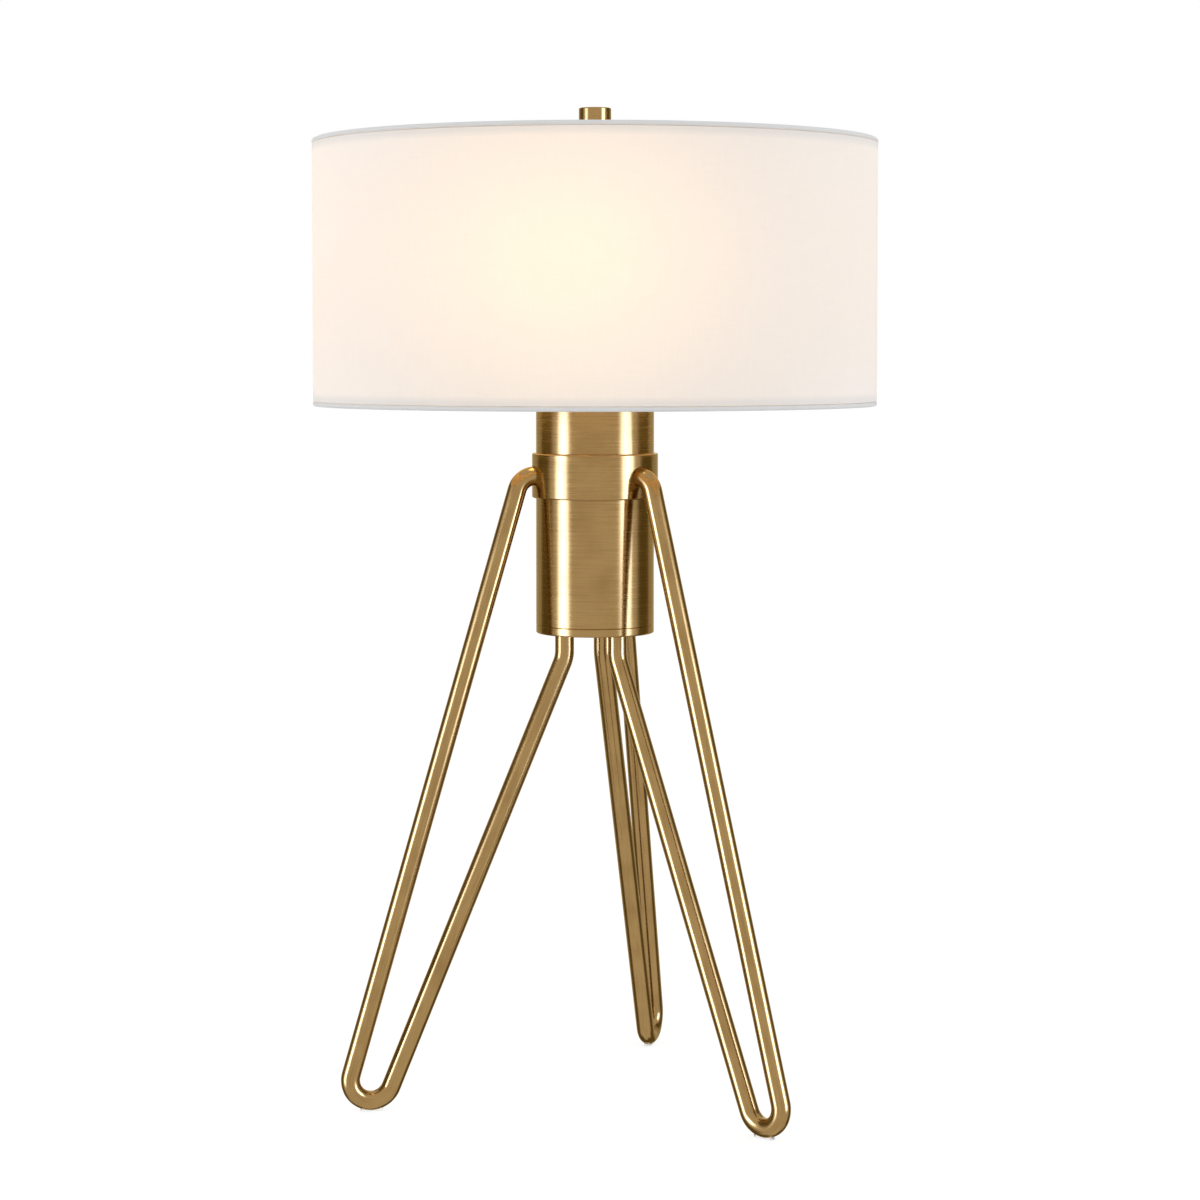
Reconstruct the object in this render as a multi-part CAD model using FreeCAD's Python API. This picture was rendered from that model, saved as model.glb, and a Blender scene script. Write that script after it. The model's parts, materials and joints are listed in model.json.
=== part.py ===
"""Tripod table lamp: a brass-finished canister on three bent-rod legs, with a lit drum shade.

Millimetres, +Z up. The origin is on the table, on the lamp's vertical axis, and the front of
the lamp faces -Y. The three legs stand 120 degrees apart, and the back one is turned a little
to the right of straight back. Each piece of the lamp is written to parts/NODE.step.
"""

import FreeCAD
import Part
import math
import os

# ---------------------------------------------------------------- driving dimensions

# Canister
TUBE_D = 75.0
TUBE_WALL = 1.5
TUBE_H = 139.7
BODY_BOTTOM_Z = 298.1          # underside of the base cap above the table
BASE_RIM_H = 5.2               # height of the base cap's visible rim
COLLAR_WALL = 2.5
COLLAR_H = 28.4
COLLAR_MID_Z = 398.1           # middle of the collar, where the legs enter
SEAM_CHAMFER = 0.35            # shadow line between tube and base cap
EDGE_ROUND = 1.0               # rounding on the collar's and the base cap's rims

# Legs
LEG_NAMES = ("back", "left", "right")
BACK_LEG_ANGLE = 75.0          # degrees from +X; the others follow at equal angles
ROD_D = 12.0
FOOT_REACH = 145.2             # lamp axis to the centre of the foot bend
FOOT_BEND_R = 13.5             # bend radii are to the rod's centre line
SHOULDER_OUT = 8.2             # collar face to the corner of the top bend
TOP_BEND_R = 12.0
STEM_REACH = 20.0              # lamp axis to the rod's inner end
STEM_DROP = 15.2               # base cap to the corner of the stem bend
STEM_BEND_R = 20.0
PORT_CLEARANCE = 0.15          # rod in its port, radial
STEM_PORT_DEPTH = 2.0
TENON_D = 8.0                  # threaded ends of the rod
TENON_PROUD = 1.5
PAD_T = 0.5                    # foot pad under the lowest point of the bend
PAD_L = 14.0
PAD_ROUND = 1.2
PAD_W = 4.6

# Fasteners
LEG_NUT_FLATS = 13.0
LEG_NUT_H = 6.5
LEG_WASHER_D = 17.0
LEG_WASHER_T = 1.6
SADDLE_WASHER_T = 3.0
THREAD_GAP = 0.05              # radial, between a thread's two plain stand-in faces
HOLE_CLEARANCE = 0.2           # radial, screw or pipe through a plain hole
SLIP_FIT = 0.05                # radial, parts that slip over each other and stay

# Lamp pipe and what it clamps
PIPE_D = 9.7
PIPE_BORE = 7.0
PIPE_NUT_FLATS = 14.0
PIPE_NUT_H = 3.0
NUT_RECESS_D = 22.0
NUT_RECESS_DEPTH = 3.6
PIPE_INSET = 0.6               # pipe end above the base cap's underside
BUSHING_BORE = 6.0
BUSHING_L = 8.0
STAR_WASHER_D = 16.0
STAR_WASHER_T = 0.8
STAR_TEETH = 10
STAR_GAP_L = 2.0
STAR_GAP_W = 1.6

# Base cap and top dish
SPIGOT_H = 6.0
SPIGOT_WALL = 2.0
DISH_T = 1.5
DISH_ROUND = 0.5
DISH_DEPTH = 8.0
DISH_GAP = 1.6                 # radial, dish wall to tube

# Harp and its saddle
SADDLE_T = 1.5
SADDLE_W = 9.0
SADDLE_EYE_D = 18.0            # round middle of the strip, about the pipe
HARP_FOOT_X = 28.0             # axis of the saddle's posts
SADDLE_SHOULDER_H = 9.0        # dish floor to the shoulder under the ferrule
SADDLE_SEAT_H = 2.2            # the ferrule's seat
LAP_L = 6.0                    # half-lap between post and harp wire
LAP_GAP = 0.1
HARP_WIRE_D = 3.6
HARP_H = 160.0                 # dish floor to the seat of the shade
HARP_HALF_W = 52.0
HARP_CROWN_R = 44.0
HARP_FLARE_R = 40.0
FERRULE_L = 14.0
FERRULE_WALL = 1.2
FERRULE_GAP = 0.2              # radial, ferrule on its wire
FERRULE_TRAVEL = 12.0
HARP_HUB_D = 12.0
HARP_HUB_BELOW = 3.0           # hub under the wire's axis
HARP_HUB_ABOVE = 3.2           # wire's axis to the seat of the shade
STUD_D = 6.35
STUD_L = 12.0

# Socket
SOCKET_GAP_Z = 0.5             # pipe nut to the socket cap
NECK_D = 14.0
NECK_H = 7.0
CAP_WALL = 0.9
CAP_DOME_H = 8.0
CAP_SHOULDER = 2.3             # the dome turns down to the lip over this last width
CAP_LIP_H = 3.0
SHELL_WALL = 0.6
SHELL_LAP = 2.5                # shell inside the cap's lip
SHELL_TOP_H = 49.8             # neck's lower end to the shell's rim
SHELL_BEAD = 0.6
LINER_WALL = 0.8
LINER_SHORT = 1.0              # liner below the shell's rim
TERMINAL_ROOM = 1.3            # radial, switch body to liner
BODY_STEP = 4.5                # switch body's foot, narrower than the body by this radius
SWITCH_BODY_TOP = 25.2         # neck's lower end to the top of the switch body
THREAD_PLAY = 0.4              # radial, bulb's screw in the screw shell
LINER_GAP = 0.45               # radial, screw shell to liner
SCREW_SHELL_WALL = 0.4
SCREW_SHELL_H = 20.5
THREAD_PITCH = 3.6
THREAD_DEPTH = 0.55
CONTACT_W = 5.0
CONTACT_T = 0.5
CONTACT_L = 11.0
CONTACT_BUTTON_D = 3.4
TERMINAL_D = 3.6
TERMINAL_SHANK_D = 1.8
TERMINAL_SHANK_L = 6.0
SET_SCREW_D = 3.0
SET_SCREW_L = 4.0
SWITCH_SHAFT_H = 22.3          # neck's lower end to the switch shaft's axis
SWITCH_SHAFT_D = 3.2
SWITCH_HOLE_GAP = 0.4
KNOB_D = 9.0
KNOB_L = 12.0
KNOB_STANDOFF = 3.0            # socket shell to the knob
KNOB_FLUTES = 8
KNOB_FLUTE_D = 1.6
KNOB_SKIRT = 3.0               # plain length before the flutes
KNOB_CHAMFER = 0.75
SHAFT_IN_BODY = 6.0
SHAFT_IN_KNOB = 8.0

# Bulb
BULB_R = 23.8
BULB_L = 88.0
BULB_WAIST_ANGLE = -28.0        # where the dome turns into the neck, in degrees
BULB_NECK_R = 15.5
BULB_COLLAR_R = 17.0
BULB_COLLAR_H = 13.0
BULB_TAPER_H = 9.8
BULB_GLASS_T = 1.0
BULB_SCREW_D = 26.0
BULB_SCREW_WALL = 0.5
BULB_PLUG_H = 12.0             # collar inside the screw shell
BULB_INSULATOR_H = 3.2
BULB_TIP_R = 4.6
BULB_TIP_FLAT_R = 2.8
BULB_TIP_H = 1.0
BULB_RIM_GAP = 0.8             # bulb collar above the socket's rim

# Shade
SHADE_D = 355.6
SHADE_H = 167.0
SHADE_DROP = 12.7              # seat on the harp to the shade's upper edge
FABRIC_T = 0.5
LINER_T = 0.4
RING_WIRE_D = 2.4
HEM_T = 0.4
HEM_SIDES = 12                 # flat sides that stand for the roll's curve
HEM_PROUD = 0.15
SPIDER_ARMS = 3
SPIDER_HUB_D = 22.0
SPIDER_HUB_T = 2.4
SPIDER_WIRE_D = 2.4
SPIDER_RISE_RUN = 36.0         # the arms slope up over this last stretch
SPIDER_BEND_R = 20.0
STUD_CLEARANCE = 0.4

# Finial
FINIAL_D = 20.4
FINIAL_H = 30.3
FINIAL_ROUND = 0.8
FINIAL_BORE_DEPTH = 13.5

SEAT_GAP = 0.2                 # between a piece that lifts off and its seat
TOLERANCE = 1e-4               # lengths closer than this are the same

# ---------------------------------------------------------------- derived places

leg_angles = [BACK_LEG_ANGLE + i * 360 / len(LEG_NAMES) for i in range(len(LEG_NAMES))]

UP = FreeCAD.Vector(0, 0, 1)
ORIGIN = FreeCAD.Vector(0, 0, 0)

tube_r = TUBE_D / 2
tube_in_r = tube_r - TUBE_WALL
collar_r = tube_r + SLIP_FIT + COLLAR_WALL
rod_r = ROD_D / 2
tenon_r = TENON_D / 2
pipe_r = PIPE_D / 2

tube_z0 = BODY_BOTTOM_Z + BASE_RIM_H
tube_z1 = tube_z0 + TUBE_H
dish_floor_z = tube_z1 + DISH_T - DISH_DEPTH
dish_in_r = tube_in_r - DISH_GAP - DISH_T

saddle_top_z = dish_floor_z + SADDLE_T
star_top_z = saddle_top_z + STAR_WASHER_T
top_nut_z = star_top_z + PIPE_NUT_H
socket_z = top_nut_z + SOCKET_GAP_Z
pipe_top_z = socket_z + NECK_H
pipe_bottom_z = BODY_BOTTOM_Z + PIPE_INSET
recess_z = BODY_BOTTOM_Z + NUT_RECESS_DEPTH

screw_shell_r = BULB_SCREW_D / 2 + THREAD_PLAY + THREAD_DEPTH + SCREW_SHELL_WALL
liner_in_r = screw_shell_r + LINER_GAP
liner_r = liner_in_r + LINER_WALL
shell_in_r = liner_r + SLIP_FIT
shell_r = shell_in_r + SHELL_WALL
cap_r = shell_r + SLIP_FIT + CAP_WALL
switch_body_r = liner_in_r - TERMINAL_ROOM
cap_lip_z = socket_z + NECK_H + CAP_DOME_H + CAP_LIP_H
shell_z0 = cap_lip_z - SHELL_LAP
shell_z1 = socket_z + SHELL_TOP_H
switch_z = socket_z + SWITCH_SHAFT_H
body_top_z = socket_z + SWITCH_BODY_TOP
contact_top_z = body_top_z + CONTACT_T * 2

bulb_z = contact_top_z + SEAT_GAP
bulb_shell_z0 = bulb_z + BULB_TIP_H + BULB_INSULATOR_H
bulb_collar_z = shell_z1 + BULB_RIM_GAP
bulb_collar_top_z = bulb_collar_z + BULB_COLLAR_H
bulb_top_z = bulb_z + BULB_L
bulb_centre_z = bulb_top_z - BULB_R

shoulder_z = dish_floor_z + SADDLE_SHOULDER_H
wire_r = HARP_WIRE_D / 2
post_top_z = shoulder_z + FERRULE_L / 2 + LAP_L / 2
harp_wire_z0 = post_top_z - LAP_L + LAP_GAP
harp_seat_z = dish_floor_z + HARP_H
harp_axis_z = harp_seat_z - HARP_HUB_ABOVE
stud_r = STUD_D / 2

shade_r = SHADE_D / 2
shade_z1 = harp_seat_z + SHADE_DROP
shade_z0 = shade_z1 - SHADE_H
ring_r = RING_WIRE_D / 2
hem_r = ring_r + HEM_T
ring_reach = shade_r + HEM_PROUD - hem_r
ring_top_z = shade_z1 - hem_r
ring_bottom_z = shade_z0 + hem_r
wall_top_z = ring_top_z - hem_r
wall_bottom_z = ring_bottom_z + hem_r
liner_out_r = shade_r - FABRIC_T
spider_z = harp_seat_z + SEAT_GAP
finial_z = spider_z + SPIDER_HUB_T + SEAT_GAP


# ---------------------------------------------------------------- helpers


def vec(x, y, z=0.0):
    return FreeCAD.Vector(x, y, z)


def polygon(points):
    """A flat face through the points, in order."""
    return Part.Face(Part.makePolygon(list(points) + [points[0]]))


def turned(outline):
    """A solid of revolution about Z, from its (radius, height) outline."""
    face = polygon([vec(r, 0, z) for r, z in outline])
    return face.revolve(ORIGIN, UP, 360)


def tube(outer_r, inner_r, z0, z1):
    return turned([(inner_r, z0), (outer_r, z0), (outer_r, z1), (inner_r, z1)])


def cylinder(radius, height, base, axis=UP):
    return Part.makeCylinder(radius, height, base, axis)


def ring(reach, wire_radius, z):
    """A torus about Z."""
    return Part.makeTorus(reach, wire_radius, vec(0, 0, z), UP)


def hexagon(flats, height, bore_r, base, axis=UP):
    """A hexagonal nut with a plain bore, from base along axis."""
    corner = vec(flats / 2 / math.cos(math.radians(30)), 0)
    points = [FreeCAD.Rotation(UP, a).multVec(corner) for a in range(0, 360, 60)]
    nut = polygon(points).extrude(UP * height)
    nut = nut.cut(cylinder(bore_r, height, ORIGIN))
    nut.Placement = FreeCAD.Placement(base, FreeCAD.Rotation(UP, axis))
    return nut


def about_axis(shape, degrees):
    """A copy of shape, turned about the lamp's axis."""
    copy = shape.copy()
    copy.rotate(ORIGIN, UP, degrees)
    return copy


def at_each_leg(shape):
    """One copy of shape for each leg. shape is made for a leg that points along +X."""
    return Part.Compound([about_axis(shape, a) for a in leg_angles])


def round_edges(shape, radius, wanted):
    """Rounds the edges for which wanted(edge) is true."""
    return shape.makeFillet(radius, [e for e in shape.Edges if wanted(e)])


def is_rim(radius, height):
    """A test for the circular edge of that radius at that height."""

    def wanted(edge):
        box = edge.BoundBox
        level = max(abs(box.ZMax - height), abs(box.ZMin - height))
        return max(level, abs(box.XMax - radius)) < TOLERANCE

    return wanted


def corner_arc(before, corner, after, radius):
    """Start, middle and end of the arc that rounds a corner of a route."""
    back = (before - corner).normalize()
    on = (after - corner).normalize()
    half = back.getAngle(on) / 2
    reach = radius / math.tan(half)
    bisector = (back + on).normalize()
    middle = corner + bisector * (radius / math.sin(half) - radius)
    return corner + back * reach, middle, corner + on * reach


def rounded_route(points, radii):
    """A wire of straight runs through points, whose corners are tangent arcs of the radii."""
    edges, last = [], points[0]
    for i, radius in enumerate(radii, start=1):
        start, middle, end = corner_arc(points[i - 1], points[i], points[i + 1], radius)
        edges.append(Part.LineSegment(last, start).toShape())
        edges.append(Part.Arc(start, middle, end).toShape())
        last = end
    edges.append(Part.LineSegment(last, points[-1]).toShape())
    return Part.Wire(edges)


def round_bar(route, radius):
    """A round bar along a route."""
    first = route.OrderedEdges[0]
    start = first.valueAt(first.FirstParameter)
    heading = first.tangentAt(first.FirstParameter)
    section = Part.Wire(Part.makeCircle(radius, start, heading))
    return route.makePipeShell([section], True, False)


def tangent_heading(point, centre, radius, side):
    """Direction from point to the circle's tangent point. side is +1 or -1."""
    away = centre - point
    angle = math.asin(radius / away.Length) * side
    return FreeCAD.Rotation(vec(0, 1), math.degrees(angle)).multVec(away.normalize())


def crossing(p, u, q, v):
    """Where the line from p along u meets the line from q along v, in the XZ plane."""
    det = u.x * v.z - u.z * v.x
    t = ((q.x - p.x) * v.z - (q.z - p.z) * v.x) / det
    return p + u * t


def rolled_thread(crest_r, wall, z0, z1):
    """A thin shell whose wall steps in and out with the thread's pitch."""
    steps = round((z1 - z0) / THREAD_PITCH) * 2
    heights = [z0 + i * (z1 - z0) / steps for i in range(steps + 1)]
    outside = [(crest_r - THREAD_DEPTH * (i % 2), z) for i, z in enumerate(heights)]
    inside = [(r - wall, z) for r, z in reversed(outside)]
    return turned(outside + inside)


# ---------------------------------------------------------------- legs


def leg_route():
    """Centre line of a leg in the XZ plane, from the collar to the foot and up to the base cap."""
    foot = vec(FOOT_REACH, 0, PAD_T + rod_r + FOOT_BEND_R)
    entry = vec(tube_r + SLIP_FIT, 0, COLLAR_MID_Z)
    shoulder = vec(collar_r + SHOULDER_OUT, 0, COLLAR_MID_Z)
    knee = vec(STEM_REACH, 0, BODY_BOTTOM_Z - STEM_DROP)
    stem_end = vec(STEM_REACH, 0, BODY_BOTTOM_Z + STEM_PORT_DEPTH)
    outer_run = tangent_heading(shoulder, foot, FOOT_BEND_R, -1)
    inner_run = tangent_heading(knee, foot, FOOT_BEND_R, +1)
    toe = crossing(shoulder, outer_run, knee, inner_run)
    corners = [entry, shoulder, toe, knee, stem_end]
    return rounded_route(corners, [TOP_BEND_R, FOOT_BEND_R, STEM_BEND_R])


def leg():
    """A bent rod along +X, with a threaded tenon at each end."""
    bar = round_bar(leg_route(), rod_r)
    grip = SADDLE_WASHER_T + LEG_NUT_H + TENON_PROUD
    top_l = tube_r + SLIP_FIT - tube_in_r + grip
    top_tenon = cylinder(tenon_r, top_l, vec(tube_r + SLIP_FIT, 0, COLLAR_MID_Z), vec(-1, 0))
    stem_l = BASE_RIM_H - STEM_PORT_DEPTH + LEG_WASHER_T + LEG_NUT_H + TENON_PROUD
    stem_base = vec(STEM_REACH, 0, BODY_BOTTOM_Z + STEM_PORT_DEPTH)
    return bar.fuse([top_tenon, cylinder(tenon_r, stem_l, stem_base)]).removeSplitter()


def foot_pad():
    """A clear pad with a flat sole, moulded to the underside of the foot bend."""
    height = PAD_T + rod_r / 2
    block = Part.makeBox(PAD_L, PAD_W, height, vec(FOOT_REACH - PAD_L / 2, -PAD_W / 2, 0))
    corners = [e for e in block.Edges if abs(e.tangentAt(e.FirstParameter).z) > 0.9]
    block = block.makeFillet(PAD_ROUND, corners)
    foot = vec(FOOT_REACH, 0, PAD_T + rod_r + FOOT_BEND_R)
    bend = Part.makeTorus(FOOT_BEND_R, rod_r + SLIP_FIT, foot, vec(0, 1))
    return block.cut(bend).cut(cylinder(FOOT_BEND_R, ROD_D, foot - vec(0, rod_r), vec(0, 1)))


def saddle_washer():
    """Washer between a leg's top nut and the inside of the tube: one face is curved to the tube."""
    seat = vec(tube_in_r - SADDLE_WASHER_T, 0, COLLAR_MID_Z)
    disc = cylinder(LEG_WASHER_D / 2, SADDLE_WASHER_T, seat, vec(1, 0))
    hole = cylinder(tenon_r + HOLE_CLEARANCE, SADDLE_WASHER_T, seat, vec(1, 0))
    inside = cylinder(tube_in_r - SLIP_FIT, TUBE_H, vec(0, 0, tube_z0))
    return disc.cut(hole).common(inside)


def top_nut():
    base = vec(tube_in_r - SADDLE_WASHER_T, 0, COLLAR_MID_Z)
    return hexagon(LEG_NUT_FLATS, LEG_NUT_H, tenon_r + THREAD_GAP, base, vec(-1, 0))


def stem_washer():
    base = vec(STEM_REACH, 0, tube_z0)
    disc = cylinder(LEG_WASHER_D / 2, LEG_WASHER_T, base)
    return disc.cut(cylinder(tenon_r + HOLE_CLEARANCE, LEG_WASHER_T, base))


def stem_nut():
    base = vec(STEM_REACH, 0, tube_z0 + LEG_WASHER_T)
    return hexagon(LEG_NUT_FLATS, LEG_NUT_H, tenon_r + THREAD_GAP, base)


# ---------------------------------------------------------------- canister


def canister_tube():
    """Main tube, with a hole for each leg and a bevel at the seam with the base cap."""
    body = tube(tube_r, tube_in_r, tube_z0, tube_z1)
    seam = [e for e in body.Edges if is_rim(tube_r, tube_z0)(e)]
    body = body.makeChamfer(SEAM_CHAMFER, seam)
    hole = cylinder(tenon_r + HOLE_CLEARANCE, tube_r, vec(tube_r / 2, 0, COLLAR_MID_Z), vec(1, 0))
    return body.cut(at_each_leg(hole))


def collar_band():
    """Band round the tube, with a port for each rod."""
    z0, z1 = COLLAR_MID_Z - COLLAR_H / 2, COLLAR_MID_Z + COLLAR_H / 2
    band = tube(collar_r, tube_r + SLIP_FIT, z0, z1)
    for z in (z0, z1):
        band = round_edges(band, EDGE_ROUND, is_rim(collar_r, z))
    port = cylinder(rod_r + PORT_CLEARANCE, tube_r, vec(tube_r / 2, 0, COLLAR_MID_Z), vec(1, 0))
    return band.cut(at_each_leg(port))


def base_cap():
    """Closes the tube's lower end. It has a port for each rod and a recess for the pipe nut."""
    spigot_r = tube_in_r - SLIP_FIT * 2
    cap = turned(
        [
            (pipe_r + HOLE_CLEARANCE, recess_z),
            (NUT_RECESS_D / 2, recess_z),
            (NUT_RECESS_D / 2, BODY_BOTTOM_Z),
            (tube_r, BODY_BOTTOM_Z),
            (tube_r, tube_z0 - SEAM_CHAMFER),
            (tube_r - SEAM_CHAMFER, tube_z0),
            (spigot_r, tube_z0),
            (spigot_r, tube_z0 + SPIGOT_H),
            (spigot_r - SPIGOT_WALL, tube_z0 + SPIGOT_H),
            (spigot_r - SPIGOT_WALL, tube_z0),
            (pipe_r + HOLE_CLEARANCE, tube_z0),
        ]
    )
    cap = round_edges(cap, EDGE_ROUND, is_rim(tube_r, BODY_BOTTOM_Z))
    below = vec(STEM_REACH, 0, BODY_BOTTOM_Z)
    port = cylinder(rod_r + PORT_CLEARANCE, STEM_PORT_DEPTH, below)
    hole = cylinder(tenon_r + HOLE_CLEARANCE, BASE_RIM_H, below)
    return cap.cut(at_each_leg(port.fuse(hole)))


def top_dish():
    """Closes the tube. Its flange sits on the tube's rim, and its floor carries the harp saddle."""
    wall_r = dish_in_r + DISH_T
    dish = turned(
        [
            (pipe_r + HOLE_CLEARANCE, dish_floor_z - DISH_T),
            (wall_r, dish_floor_z - DISH_T),
            (wall_r, tube_z1),
            (tube_r, tube_z1),
            (tube_r, tube_z1 + DISH_T),
            (dish_in_r, tube_z1 + DISH_T),
            (dish_in_r, dish_floor_z),
            (pipe_r + HOLE_CLEARANCE, dish_floor_z),
        ]
    )
    return round_edges(dish, DISH_ROUND, is_rim(tube_r, tube_z1 + DISH_T))


def lamp_pipe():
    return tube(pipe_r, PIPE_BORE / 2, pipe_bottom_z, pipe_top_z)


def pipe_locknut_bottom():
    base = vec(0, 0, recess_z - PIPE_NUT_H)
    return hexagon(PIPE_NUT_FLATS, PIPE_NUT_H, pipe_r + THREAD_GAP, base)


def pipe_locknut_top():
    return hexagon(PIPE_NUT_FLATS, PIPE_NUT_H, pipe_r + THREAD_GAP, vec(0, 0, star_top_z))


def star_washer():
    """Toothed lock washer between the harp saddle and the upper pipe nut."""
    outer = STAR_WASHER_D / 2
    disc = tube(outer, pipe_r + HOLE_CLEARANCE, saddle_top_z, star_top_z)
    gap = Part.makeBox(outer, STAR_GAP_W, STAR_WASHER_T)
    gap.translate(vec(outer - STAR_GAP_L, -STAR_GAP_W / 2, saddle_top_z))
    gaps = [about_axis(gap, i * 360 / STAR_TEETH) for i in range(STAR_TEETH)]
    return disc.cut(gaps)


def cord_bushing():
    """Smooth-edged outlet in the pipe's lower end, for a supply cord."""
    bore, sleeve = BUSHING_BORE / 2, PIPE_BORE / 2 - SLIP_FIT
    return turned(
        [
            (bore, BODY_BOTTOM_Z),
            (pipe_r, BODY_BOTTOM_Z),
            (pipe_r, pipe_bottom_z),
            (sleeve, pipe_bottom_z),
            (sleeve, pipe_bottom_z + BUSHING_L),
            (bore, pipe_bottom_z + BUSHING_L),
        ]
    )


# ---------------------------------------------------------------- harp


def harp_saddle():
    """Strip on the dish floor, turned up at both ends into a half-lapped post."""
    strip_x = HARP_FOOT_X + SADDLE_T / 2
    base = Part.makeBox(strip_x * 2, SADDLE_W, SADDLE_T, vec(-strip_x, -SADDLE_W / 2, dish_floor_z))
    hole = cylinder(pipe_r + HOLE_CLEARANCE, SADDLE_T, vec(0, 0, dish_floor_z))
    eye = cylinder(SADDLE_EYE_D / 2, SADDLE_T, vec(0, 0, dish_floor_z))
    saddle = base.fuse(eye).cut(hole)
    for side in (-1, 1):
        x = side * HARP_FOOT_X
        upright = Part.makeBox(
            SADDLE_T, SADDLE_W, SADDLE_SHOULDER_H, vec(x - SADDLE_T / 2, -SADDLE_W / 2, dish_floor_z)
        )
        seat_r = wire_r + FERRULE_GAP + FERRULE_WALL
        seat = cylinder(seat_r, SADDLE_SEAT_H, vec(x, 0, shoulder_z - SADDLE_SEAT_H))
        post = cylinder(wire_r, post_top_z - shoulder_z, vec(x, 0, shoulder_z))
        lap = Part.makeBox(wire_r * 2, wire_r * 4, LAP_L)
        lap_x = x if side > 0 else x - wire_r * 2
        lap.translate(vec(lap_x, -wire_r * 2, post_top_z - LAP_L))
        saddle = saddle.fuse([upright, seat, post.cut(lap)])
    return saddle.removeSplitter()


def flare_angle(start_z):
    """Slope of the harp's side run, so that it is tangent to the flare and to the crown."""
    crown_x, crown_z = HARP_HALF_W - HARP_CROWN_R, harp_axis_z - HARP_CROWN_R
    reach = HARP_FLARE_R + HARP_CROWN_R
    a = HARP_FOOT_X + HARP_FLARE_R - crown_x
    b = crown_z - start_z
    return math.atan2(b, a) - math.acos(reach / math.hypot(a, b))


def harp_side():
    """Edges of the right half of the harp's centre line, from its foot to the middle of the crown."""
    start_z = shoulder_z + FERRULE_L + FERRULE_TRAVEL + SEAT_GAP + LAP_GAP
    alpha = flare_angle(start_z)
    flare = vec(HARP_FOOT_X + HARP_FLARE_R, 0, start_z)
    crown = vec(HARP_HALF_W - HARP_CROWN_R, 0, harp_axis_z - HARP_CROWN_R)

    def on_flare(angle):
        return flare + vec(-math.cos(angle), 0, math.sin(angle)) * HARP_FLARE_R

    def on_crown(angle):
        return crown + vec(math.cos(angle), 0, math.sin(angle)) * HARP_CROWN_R

    top = math.pi / 2
    return [
        Part.LineSegment(vec(HARP_FOOT_X, 0, harp_wire_z0), on_flare(0)).toShape(),
        Part.Arc(on_flare(0), on_flare(alpha / 2), on_flare(alpha)).toShape(),
        Part.LineSegment(on_flare(alpha), on_crown(-alpha)).toShape(),
        Part.Arc(on_crown(-alpha), on_crown((top - alpha) / 2), on_crown(top)).toShape(),
        Part.LineSegment(on_crown(top), vec(0, 0, harp_axis_z)).toShape(),
    ]


def harp_wire():
    """The bow. Each foot is half-lapped to stand beside a post of the saddle."""
    half = round_bar(Part.Wire(harp_side()), wire_r)
    lap = Part.makeBox(wire_r * 2, wire_r * 4, LAP_L)
    lap.translate(vec(HARP_FOOT_X - wire_r * 2 + LAP_GAP, -wire_r * 2, post_top_z - LAP_L + LAP_GAP))
    half = half.cut(lap)
    return half.fuse(about_axis(half, 180)).removeSplitter()


def harp_stud():
    """Hub crimped on the crown, with the threaded stud for the shade and the finial."""
    hub_z = harp_axis_z - HARP_HUB_BELOW
    hub = cylinder(HARP_HUB_D / 2, HARP_HUB_BELOW + HARP_HUB_ABOVE, vec(0, 0, hub_z))
    stud = cylinder(stud_r, STUD_L, vec(0, 0, harp_seat_z))
    hub = hub.fuse(stud).removeSplitter()
    bore = round_bar(Part.Wire(harp_side()[3:]), wire_r + SLIP_FIT)
    return hub.cut([bore, about_axis(bore, 180)])


def ferrule(side):
    """Sleeve that locks one foot of the harp to its post, and slides up to free it."""
    z0 = shoulder_z + SEAT_GAP
    sleeve = tube(wire_r + FERRULE_GAP + FERRULE_WALL, wire_r + FERRULE_GAP, z0, z0 + FERRULE_L)
    sleeve.translate(vec(side * HARP_FOOT_X, 0))
    return sleeve


# ---------------------------------------------------------------- socket


def socket_cap():
    """Cup on the pipe's end: a neck, a dome and a lip that holds the shell."""
    dome_z = pipe_top_z + CAP_DOME_H
    shoulder_z0 = pipe_top_z + CAP_DOME_H / 3
    shoulder_r = cap_r - CAP_SHOULDER
    bore = pipe_r + THREAD_GAP
    cap = turned(
        [
            (bore, socket_z),
            (NECK_D / 2, socket_z),
            (NECK_D / 2, pipe_top_z - CAP_WALL),
            (shoulder_r, shoulder_z0 - CAP_WALL),
            (cap_r, dome_z),
            (cap_r, cap_lip_z),
            (cap_r - CAP_WALL, cap_lip_z),
            (cap_r - CAP_WALL, dome_z),
            (shoulder_r - CAP_WALL, shoulder_z0),
            (NECK_D / 2, pipe_top_z),
            (bore, pipe_top_z),
        ]
    )
    return cap.cut(set_screw_hole())


def set_screw_hole():
    """Hole through one side of the socket cap's neck."""
    middle = vec(0, 0, socket_z + NECK_H / 2)
    return cylinder(SET_SCREW_D / 2 + THREAD_GAP, NECK_D, middle, vec(1, 0))


def set_screw():
    """Locks the socket cap on the pipe."""
    tip = vec(pipe_r + THREAD_GAP, 0, socket_z + NECK_H / 2)
    return cylinder(SET_SCREW_D / 2, SET_SCREW_L, tip, vec(1, 0))


def switch_hole(radius):
    return cylinder(radius, cap_r, vec(0, -switch_body_r, switch_z), vec(0, -1))


def socket_shell():
    bead_z = shell_z1 - SHELL_BEAD * 2
    shell = turned(
        [
            (shell_in_r, shell_z0),
            (shell_r, shell_z0),
            (shell_r, bead_z),
            (shell_r + SHELL_BEAD, bead_z + SHELL_BEAD / 2),
            (shell_r + SHELL_BEAD, shell_z1 - SHELL_BEAD / 2),
            (shell_r, shell_z1),
            (shell_in_r, shell_z1),
        ]
    )
    return shell.cut(switch_hole(SWITCH_SHAFT_D / 2 + SWITCH_HOLE_GAP))


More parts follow.
